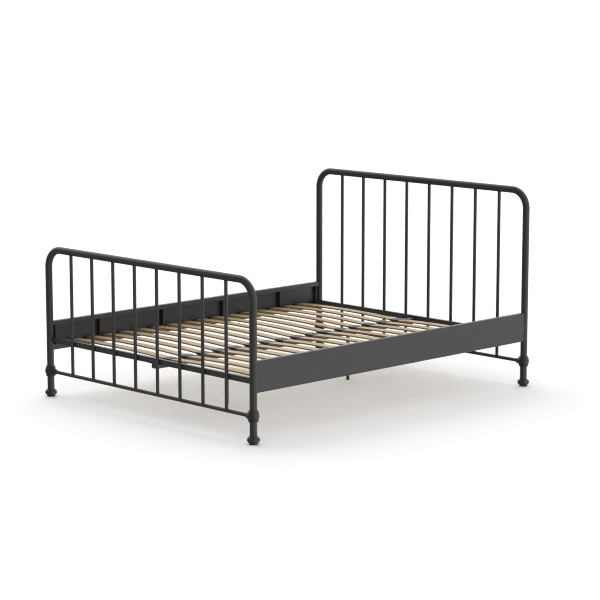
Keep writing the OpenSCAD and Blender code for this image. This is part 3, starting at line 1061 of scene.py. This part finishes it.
def half_slat_mesh():
    """Bowed slat, centred on its own middle, with rounded edges and a layer attribute."""
    half = (slat_high.x - slat_inner_x) / 2
    bow_r = (half ** 2 + slat_crown ** 2) / (2 * slat_crown)
    angle = math.asin(half / bow_r)
    outline = rounded_rectangle(slat_w, slat_t, slat_edge_r, 4)
    bm = bmesh.new()
    layer = bm.verts.layers.float.new("ply")
    rings = []
    for k in range(slat_steps + 1):
        t = angle * (2 * k / slat_steps - 1)
        ring = []
        for y, depth in outline:
            r = bow_r - slat_t / 2 + depth
            ring.append(Vector((r * math.sin(t), y, slat_high.z - bow_r + r * math.cos(t))))
        rings.append(ring)
    for ring in rings_to_faces(bm, rings):
        for vert, (_, depth) in zip(ring, outline):
            vert[layer] = 0.5 + depth / slat_t
    return finish_mesh(bm, "half_slat", "birch_slat", sharp_degrees=50)


def holder_base(bm, web):
    """Base plate on the lip, with an ear and two stops for the slat on each side."""
    base_top = seat_z + holder_base_t
    inner = web - holder_reach
    soft_box(bm, (inner, -holder_half_w, seat_z), (web, holder_half_w, base_top), 1.0 * MM)
    for s in (-1, 1):
        ear = (inner, s * (holder_half_w - ear_w), seat_z)
        soft_box(bm, ear, (web, s * holder_half_w, slat_end_z), 2.2 * MM)
        for offset in stop_offsets:
            x = inner + offset
            stop = (x, s * (strap_half - stop_w), seat_z + 3 * MM)
            soft_box(bm, stop, (x + stop_t, s * strap_half, slat_end_z - 1 * MM), 0.6 * MM)


def holder_strap(bm, web, top):
    """Strap over the slat's end and the wall behind it."""
    side = strap_half - strap_t / 2
    foot_z = seat_z + 1 * MM
    crown_z = top - strap_t / 2
    corners = [(-side, foot_z), (-side, crown_z), (side, crown_z), (side, foot_z)]
    arch = folded_strip(corners, strap_t, strap_bend)
    extrude(bm, arch, web - strap_reach, web - 1 * MM, lambda a, b, x: (x, a, b))
    wall = (web - back_t, -strap_half, seat_z)
    soft_box(bm, wall, (web, strap_half, top - 0.5 * MM), 1.2 * MM)


def holder_mesh():
    """Moulded seat on the rail lip: base, ears, a strap over the slat and two clips."""
    web = high("slat_holders_right").x
    bm = bmesh.new()
    holder_base(bm, web)
    holder_strap(bm, web, high("slat_holders_right").z)
    for x in (rail_low.x - clip_t, lip_x):
        clip = (x, -clip_half_w, seat_z - clip_drop)
        soft_box(bm, clip, (x + clip_t, clip_half_w, seat_z + 1 * MM), 0.8 * MM)
    return finish_mesh(bm, "slat_holder", "seat_plastic", sharp_degrees=40)


def cap_mesh():
    """Double cap on the beam: body, rims where the slats enter, centre rib, bars and clips."""
    lo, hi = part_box("centre_caps")
    base = beam_high.z
    body_x = hi.x - 1 * MM
    body_y = cap_half_y - cap_recess
    bm = bmesh.new()
    soft_box(bm, (-body_x, -body_y, base), (body_x, body_y, hi.z - cap_recess), 2.4 * MM, 4)
    for s in (-1, 1):
        rim = (s * (hi.x - cap_rim_w), cap_half_y, hi.z)
        soft_box(bm, (s * hi.x, -cap_half_y, base), rim, 2.0 * MM)
        clip = (s * cap_clip_inner, -cap_clip_half_w, lo.z)
        soft_box(bm, clip, (s * cap_clip_outer, cap_clip_half_w, base + 1 * MM), 0.9 * MM)
    rib = (cap_rib_half, cap_half_y, hi.z)
    soft_box(bm, (-cap_rib_half, -cap_half_y, base), rib, 2.0 * MM)
    for y in cap_bar_ys:
        bar = (-cap_bar_half_l, y - cap_bar_half_w, base + 2 * MM)
        bar_end = (cap_bar_half_l, y + cap_bar_half_w, hi.z - 0.1 * MM)
        soft_box(bm, bar, bar_end, 0.7 * MM)
    return finish_mesh(bm, "centre_cap", "seat_plastic", sharp_degrees=40)


def slat_base():
    """All slats with their seats and caps."""
    slat = half_slat_mesh()
    holder = holder_mesh()
    cap = cap_mesh()
    middle = (slat_inner_x + slat_high.x) / 2
    for i in range(slat_rows):
        y = row_y(i)
        number = "%02d" % (i + 1)
        for hand, sx in HANDS:
            tag = "%s_%s" % (number, hand)
            turn = 0 if sx > 0 else math.pi
            holder_node = ["slat_holders_" + hand]
            slat_node = ["slat_row_" + number]
            place("slat_" + tag, slat, slat_node, (sx * middle, y, 0))
            place("slat_seat_" + tag, holder, holder_node, (0, y, 0), turn)
        place("centre_cap_" + number, cap, ["centre_caps"], (0, y, 0))


# ---------------------------------------------------------------- stage

FLOOR_REACH = 400.0
FLOOR_WHITE = 0.92
SURROUND_LEVEL = 0.81
SHINE_DARK = 0.22
SHINE_BRIGHT = 1.35
SHINE_FROM = (0.75, 0.60, 0.10)


def pale_floor():
    """Matt floor that reaches past every view and stays out of the metal's reflections."""
    reach = FLOOR_REACH
    corners = [(-reach, -reach, 0), (reach, -reach, 0), (reach, reach, 0), (-reach, reach, 0)]
    mesh = bpy.data.meshes.new("floor")
    mesh.from_pydata(corners, [], [(0, 1, 2, 3)])
    paint = bpy.data.materials.new("floor")
    paint.use_nodes = True
    surface = paint.node_tree.nodes["Principled BSDF"]
    surface.inputs["Base Color"].default_value = (FLOOR_WHITE, FLOOR_WHITE, FLOOR_WHITE, 1)
    surface.inputs["Roughness"].default_value = 0.9
    surface.inputs["Specular IOR Level"].default_value = 0.0
    mesh.materials.append(paint)
    floor = bpy.data.objects.new("floor", mesh)
    bpy.context.scene.collection.objects.link(floor)
    floor.visible_glossy = False


def surroundings():
    """Even light from all round; only reflections see it brighter on one side."""
    world = bpy.data.worlds.new("studio")
    world.use_nodes = True
    nodes = world.node_tree.nodes
    links = world.node_tree.links
    direction = nodes.new("ShaderNodeTexCoord").outputs["Generated"]
    towards = nodes.new("ShaderNodeVectorMath")
    towards.operation = "DOT_PRODUCT"
    towards.inputs[1].default_value = Vector(SHINE_FROM).normalized()
    links.new(direction, towards.inputs[0])
    level = nodes.new("ShaderNodeMapRange")
    level.interpolation_type = "SMOOTHSTEP"
    level.inputs["From Min"].default_value = -0.3
    level.inputs["To Min"].default_value = SHINE_DARK
    level.inputs["To Max"].default_value = SHINE_BRIGHT
    links.new(towards.outputs["Value"], level.inputs["Value"])
    reflected = nodes.new("ShaderNodeLightPath").outputs["Is Glossy Ray"]
    strength = nodes.new("ShaderNodeMix")
    strength.inputs["A"].default_value = SURROUND_LEVEL
    links.new(reflected, strength.inputs["Factor"])
    links.new(level.outputs["Result"], strength.inputs["B"])
    links.new(strength.outputs["Result"], nodes["Background"].inputs["Strength"])
    nodes["Background"].inputs["Color"].default_value = (1, 1, 1, 1)
    bpy.context.scene.world = world


def sun(name, towards, spread, strength):
    """A broad, distant soft light that comes from the given direction."""
    light = bpy.data.lights.new(name, "SUN")
    light.energy = strength
    light.angle = math.radians(spread)
    lamp = bpy.data.objects.new(name, light)
    lamp.rotation_mode = "QUATERNION"
    lamp.rotation_quaternion = Vector(towards).to_track_quat("Z", "Y")
    bpy.context.scene.collection.objects.link(lamp)


def studio():
    """Pale floor, pale surroundings and one very broad light from the left rear."""
    pale_floor()
    surroundings()
    bpy.context.scene.view_settings.view_transform = "Standard"
    bpy.context.scene.cycles.filter_width = 1.1
    sun("overhead", towards=(-1.3, 0.75, 1.0), spread=90, strength=2.1)


def camera():
    """Long lens from the foot's right-hand side, looking slightly down."""
    azimuth = math.radians(45.77)
    elevation = math.radians(9.18)
    distance = 11.5
    aim = Vector((0.050, 0.029, 0.513))
    back = Vector((
        math.sin(azimuth) * math.cos(elevation),
        -math.cos(azimuth) * math.cos(elevation),
        math.sin(elevation),
    ))
    data = bpy.data.cameras.new("camera")
    data.lens = 125.3
    data.sensor_width = 36
    data.clip_end = 1000
    eye = bpy.data.objects.new("camera", data)
    eye.location = aim + back * distance
    eye.rotation_mode = "QUATERNION"
    eye.rotation_quaternion = (-back).to_track_quat("-Z", "Y")
    bpy.context.scene.collection.objects.link(eye)
    bpy.context.scene.camera = eye


camera()
studio()
board("head", 1, head_top)
board("foot", -1, foot_top)
cross_rail("head")
cross_rail("foot")
castings()
for hand, sx in HANDS:
    side_rail(hand, sx)
    rail_ribs(hand, sx)
    for end, sy in ENDS:
        bracket(end, sy, hand, sx)
rail_fasteners()
support_screws()
centre_beam()
centre_leg("head")
centre_leg("foot")
slat_base()
